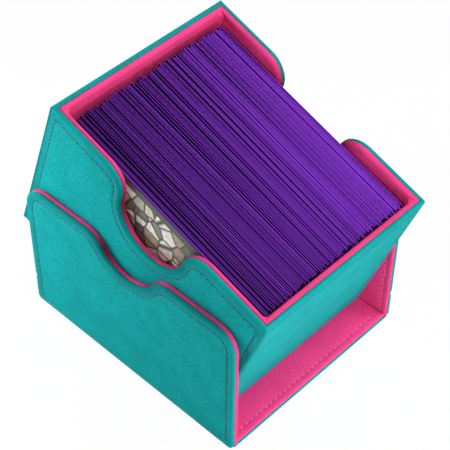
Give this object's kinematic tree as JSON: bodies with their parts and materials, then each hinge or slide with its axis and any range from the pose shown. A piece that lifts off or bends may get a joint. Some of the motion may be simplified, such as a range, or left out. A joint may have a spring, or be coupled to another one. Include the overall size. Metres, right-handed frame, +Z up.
{
  "type": "deck box with tilting card tray",
  "caption": "Microfibre deck box: an open-topped, notched card tray stands tilted in a lined U-shaped cover and holds a deck of sleeved cards that lifts out.",
  "frame": {"origin": "centre of the cover's underside, on the surface it stands on", "axes": "+Z up, -Y towards the open front that the tray leans to, X across between the cover's side panels"},
  "size_m": [0.087, 0.1207, 0.1049],
  "materials": {
    "teal_microfibre": "matte, fine suede grain",
    "pink_microfibre": "matte, soft nap",
    "greyboard": "raw board",
    "magnet": "plated",
    "card_sleeve": "matte film",
    "front_card": "coated card in a sleeve"
  },
  "bodies": {
    "cover": {"cover_left_skin": "teal_microfibre", "cover_left_board": "greyboard", "cover_left_magnets": "magnet", "cover_left_lining": "pink_microfibre", "cover_right_skin": "teal_microfibre", "cover_right_board": "greyboard", "cover_right_magnets": "magnet", "cover_right_lining": "pink_microfibre", "cover_base_skin": "teal_microfibre", "cover_base_board": "greyboard", "cover_base_lining": "pink_microfibre"},
    "tray": {"tray_left_skin": "teal_microfibre", "tray_left_board": "greyboard", "tray_left_magnets": "magnet", "tray_left_lining": "pink_microfibre", "tray_right_skin": "teal_microfibre", "tray_right_board": "greyboard", "tray_right_magnets": "magnet", "tray_right_lining": "pink_microfibre", "tray_front_skin": "teal_microfibre", "tray_front_board": "greyboard", "tray_front_lining": "pink_microfibre", "tray_back_skin": "teal_microfibre", "tray_back_board": "greyboard", "tray_back_lining": "pink_microfibre", "tray_floor_skin": "teal_microfibre", "tray_floor_board": "greyboard", "tray_floor_lining": "pink_microfibre"},
    "deck": {"sleeved_cards": "card_sleeve"},
    "front_card": {"front_card": "front_card"}
  },
  "joints": [
    {"name": "tray_tilt", "type": "hinge", "parent": "cover", "child": "tray", "pos_m": [0, -0.038, 0.0043], "axis": [1, 0, 0], "range_deg": [-19, 0]},
    {"name": "deck_lift", "type": "slide", "parent": "tray", "child": "deck", "axis": [0, -0.3256, 0.9455], "range_m": [0, 0.075]},
    {"name": "front_card_lift", "type": "slide", "parent": "tray", "child": "front_card", "axis": [0, -0.3256, 0.9455], "range_m": [0, 0.075]}
  ]
}
